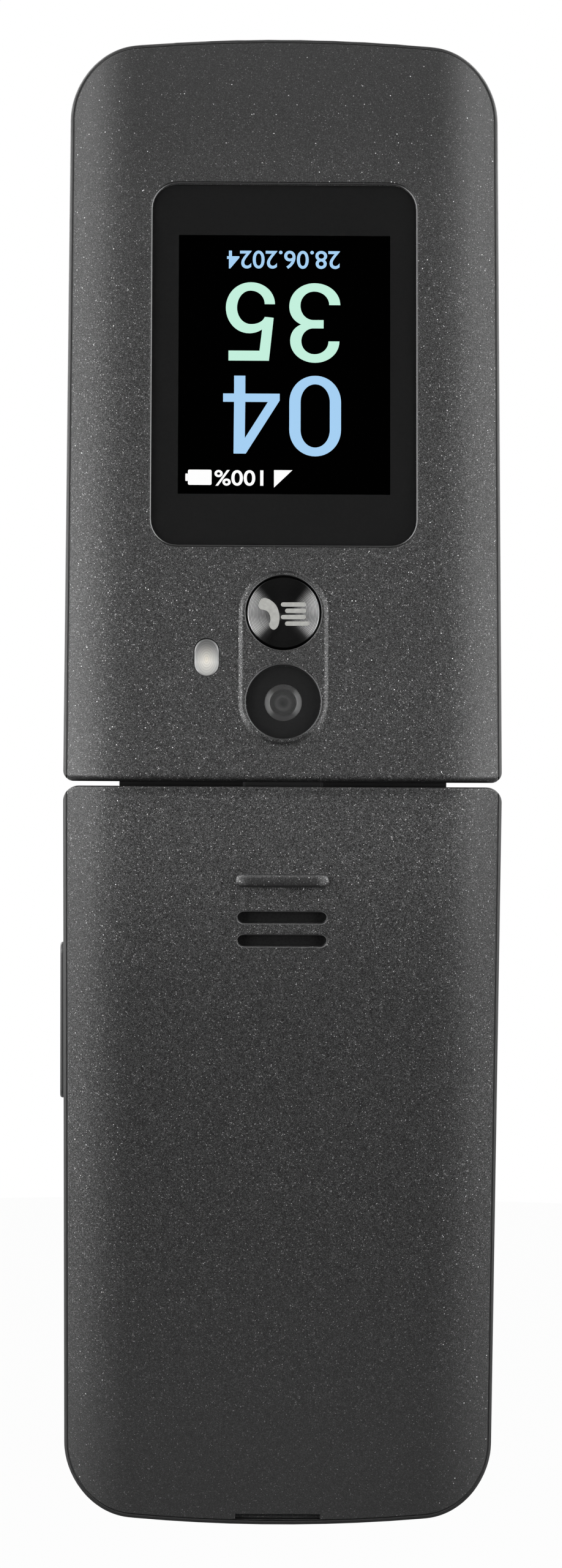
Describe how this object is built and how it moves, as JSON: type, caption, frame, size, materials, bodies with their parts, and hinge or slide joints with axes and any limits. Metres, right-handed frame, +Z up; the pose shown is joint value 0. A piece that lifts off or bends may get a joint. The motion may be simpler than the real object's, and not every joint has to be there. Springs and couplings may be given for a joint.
{
  "type": "flip phone",
  "caption": "Clamshell mobile phone open to a wide angle, with a small outer display, round key, camera and flash on the lid, keypad and main display inside.",
  "frame": {"origin": "under the middle of the phone, where it stands on the keypad half's far end, centred on its box", "axes": "+Z up along the keypad half towards the hinge, -Y out of the outer face of the keypad half, X along the hinge"},
  "size_m": [0.0579, 0.0429, 0.1945],
  "materials": {
    "paint": "graphite paint with fine bright metal flake, satin",
    "rim": "smooth dark grey, satin",
    "bezel": "dark grey fine texture",
    "window_glass": "polished glass, printed black behind",
    "display": "lit colour display",
    "spun_metal": "black anodised, turned with fine rings, grey pictogram",
    "camera": "black, with coated lens",
    "flash": "milky clear lens",
    "keys": "satin caps with light legends",
    "key_metal": "satin metallised",
    "rubber": "soft matt",
    "steel": "plain",
    "contacts": "gold plated",
    "board": "green solder mask",
    "battery": "plain wrapped cell, bare label",
    "film": "amber film",
    "mesh": "fine black mesh",
    "inner_plastic": "moulded black"
  },
  "bodies": {
    "base": {"base_frame": "rim", "keypad_bezel": "bezel", "dome_sheet": "film", "main_board": "board", "battery": "battery", "battery_contacts": "contacts", "loudspeaker": "inner_plastic", "card_reader": "steel", "vibration_motor": "steel", "microphone": "steel", "usb_connector": "steel", "headphone_jack": "inner_plastic", "volume_switches": "contacts", "base_screws": "steel", "hinge_shaft": "steel", "hinge_pin": "steel", "hinge_flex": "film"},
    "lid": {"lid_frame": "bezel", "lid_cover": "paint", "cover_window": "window_glass", "cover_display": "display", "main_window": "window_glass", "main_display": "display", "quick_key_switch": "contacts", "camera_module": "camera", "camera_window": "window_glass", "flash_lens": "flash", "flash_led": "contacts", "earpiece": "inner_plastic", "lid_board": "board", "lid_screws": "steel", "bumpers": "rubber", "hinge_can": "steel", "hinge_follower": "steel", "hinge_spring": "steel", "hinge_caps": "rim"},
    "cover": {"back_cover": "paint", "speaker_mesh": "mesh"},
    "quick_button": {"quick_key": "spun_metal"},
    "volume_rocker": {"volume_key": "rim"},
    "nav_gimbal": {"nav_rocker": "inner_plastic"},
    "nav_pad": {"nav_ring": "key_metal"},
    "ok_button": {"ok_key": "key_metal"},
    "digit_1_button": {"key_1": "keys"},
    "digit_2_button": {"key_2": "keys"},
    "digit_3_button": {"key_3": "keys"},
    "digit_4_button": {"key_4": "keys"},
    "digit_5_button": {"key_5": "keys"},
    "digit_6_button": {"key_6": "keys"},
    "digit_7_button": {"key_7": "keys"},
    "digit_8_button": {"key_8": "keys"},
    "digit_9_button": {"key_9": "keys"},
    "digit_star_button": {"key_star": "keys"},
    "digit_0_button": {"key_0": "keys"},
    "digit_hash_button": {"key_hash": "keys"},
    "send_button": {"send_key": "keys"},
    "clear_button": {"clear_key": "keys"},
    "end_button": {"end_key": "keys"},
    "soft_left_button": {"soft_key_left": "keys"},
    "soft_right_button": {"soft_key_right": "keys"}
  },
  "joints": [
    {"name": "lid_fold", "type": "hinge", "parent": "base", "child": "lid", "pos_m": [0, -0.01158, 0.0985], "axis": [-1, 0, 0], "range_deg": [0, 160]},
    {"name": "back_cover_lift", "type": "slide", "parent": "base", "child": "cover", "axis": [0, -1, 0], "range_m": [0, 0.02]},
    {"name": "quick_key_press", "type": "slide", "parent": "lid", "child": "quick_button", "axis": [0, 0.9397, -0.342], "range_m": [0, 0.0003], "stiffness_N_per_m": 6000},
    {"name": "volume_rock", "type": "hinge", "parent": "base", "child": "volume_rocker", "pos_m": [-0.02625, -0.01438, 0.0672], "axis": [0, -1, 0], "range_deg": [-1.2, 1.2], "stiffness_Nm_per_rad": 0.6},
    {"name": "nav_tilt_sideways", "type": "hinge", "parent": "base", "child": "nav_gimbal", "pos_m": [0, -0.01288, 0.076], "axis": [0, 0, 1], "range_deg": [-1, 1], "stiffness_Nm_per_rad": 1.2},
    {"name": "nav_tilt_up_down", "type": "hinge", "parent": "nav_gimbal", "child": "nav_pad", "pos_m": [0, -0.01288, 0.076], "axis": [1, 0, 0], "range_deg": [-1, 1], "stiffness_Nm_per_rad": 1.2},
    {"name": "ok_press", "type": "slide", "parent": "base", "child": "ok_button", "axis": [0, -1, 0], "range_m": [0, 0.0003], "stiffness_N_per_m": 6000},
    {"name": "digit_1_press", "type": "slide", "parent": "base", "child": "digit_1_button", "axis": [0, -1, 0], "range_m": [0, 0.0003], "stiffness_N_per_m": 6000},
    {"name": "digit_2_press", "type": "slide", "parent": "base", "child": "digit_2_button", "axis": [0, -1, 0], "range_m": [0, 0.0003], "stiffness_N_per_m": 6000},
    {"name": "digit_3_press", "type": "slide", "parent": "base", "child": "digit_3_button", "axis": [0, -1, 0], "range_m": [0, 0.0003], "stiffness_N_per_m": 6000},
    {"name": "digit_4_press", "type": "slide", "parent": "base", "child": "digit_4_button", "axis": [0, -1, 0], "range_m": [0, 0.0003], "stiffness_N_per_m": 6000},
    {"name": "digit_5_press", "type": "slide", "parent": "base", "child": "digit_5_button", "axis": [0, -1, 0], "range_m": [0, 0.0003], "stiffness_N_per_m": 6000},
    {"name": "digit_6_press", "type": "slide", "parent": "base", "child": "digit_6_button", "axis": [0, -1, 0], "range_m": [0, 0.0003], "stiffness_N_per_m": 6000},
    {"name": "digit_7_press", "type": "slide", "parent": "base", "child": "digit_7_button", "axis": [0, -1, 0], "range_m": [0, 0.0003], "stiffness_N_per_m": 6000},
    {"name": "digit_8_press", "type": "slide", "parent": "base", "child": "digit_8_button", "axis": [0, -1, 0], "range_m": [0, 0.0003], "stiffness_N_per_m": 6000},
    {"name": "digit_9_press", "type": "slide", "parent": "base", "child": "digit_9_button", "axis": [0, -1, 0], "range_m": [0, 0.0003], "stiffness_N_per_m": 6000},
    {"name": "digit_star_press", "type": "slide", "parent": "base", "child": "digit_star_button", "axis": [0, -1, 0], "range_m": [0, 0.0003], "stiffness_N_per_m": 6000},
    {"name": "digit_0_press", "type": "slide", "parent": "base", "child": "digit_0_button", "axis": [0, -1, 0], "range_m": [0, 0.0003], "stiffness_N_per_m": 6000},
    {"name": "digit_hash_press", "type": "slide", "parent": "base", "child": "digit_hash_button", "axis": [0, -1, 0], "range_m": [0, 0.0003], "stiffness_N_per_m": 6000},
    {"name": "send_press", "type": "slide", "parent": "base", "child": "send_button", "axis": [0, -1, 0], "range_m": [0, 0.0003], "stiffness_N_per_m": 6000},
    {"name": "clear_press", "type": "slide", "parent": "base", "child": "clear_button", "axis": [0, -1, 0], "range_m": [0, 0.0003], "stiffness_N_per_m": 6000},
    {"name": "end_press", "type": "slide", "parent": "base", "child": "end_button", "axis": [0, -1, 0], "range_m": [0, 0.0003], "stiffness_N_per_m": 6000},
    {"name": "soft_left_press", "type": "slide", "parent": "base", "child": "soft_left_button", "axis": [0, -1, 0], "range_m": [0, 0.0003], "stiffness_N_per_m": 6000},
    {"name": "soft_right_press", "type": "slide", "parent": "base", "child": "soft_right_button", "axis": [0, -1, 0], "range_m": [0, 0.0003], "stiffness_N_per_m": 6000}
  ]
}
